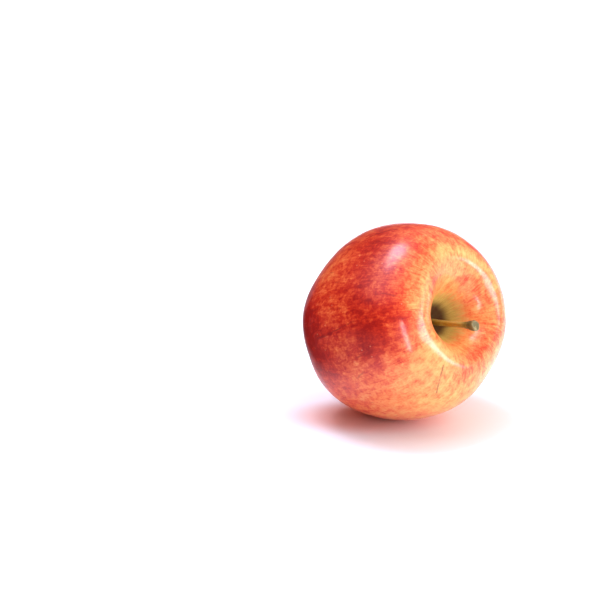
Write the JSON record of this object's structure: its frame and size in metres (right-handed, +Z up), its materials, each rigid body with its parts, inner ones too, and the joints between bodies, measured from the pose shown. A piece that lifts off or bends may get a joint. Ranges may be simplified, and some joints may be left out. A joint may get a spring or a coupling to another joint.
{
  "type": "apple",
  "caption": "Ripe dessert apple lying on its flank, stem end raised: round ribbed fruit with a deep stem cavity, a woody stem and a dried calyx in its basin.",
  "frame": {"origin": "centre of the small flat on the flank that the fruit rests on", "axes": "+Z up; the fruit's own axis, from calyx to stem, lies in the XZ plane and points along +X, 21.7 degrees above the horizontal"},
  "size_m": [0.0729, 0.0733, 0.074],
  "materials": {
    "skin": "waxy, half gloss, streaked red over yellow",
    "stem_bark": "satin bark",
    "dry_sepal": "matt, dry and downy",
    "dry_stamen": "matt, dry"
  },
  "bodies": {
    "root": {"apple_body": "skin", "stem": "stem_bark", "sepal_1": "dry_sepal", "sepal_2": "dry_sepal", "sepal_3": "dry_sepal", "sepal_4": "dry_sepal", "sepal_5": "dry_sepal", "stamen_tuft": "dry_stamen"}
  },
  "joints": []
}
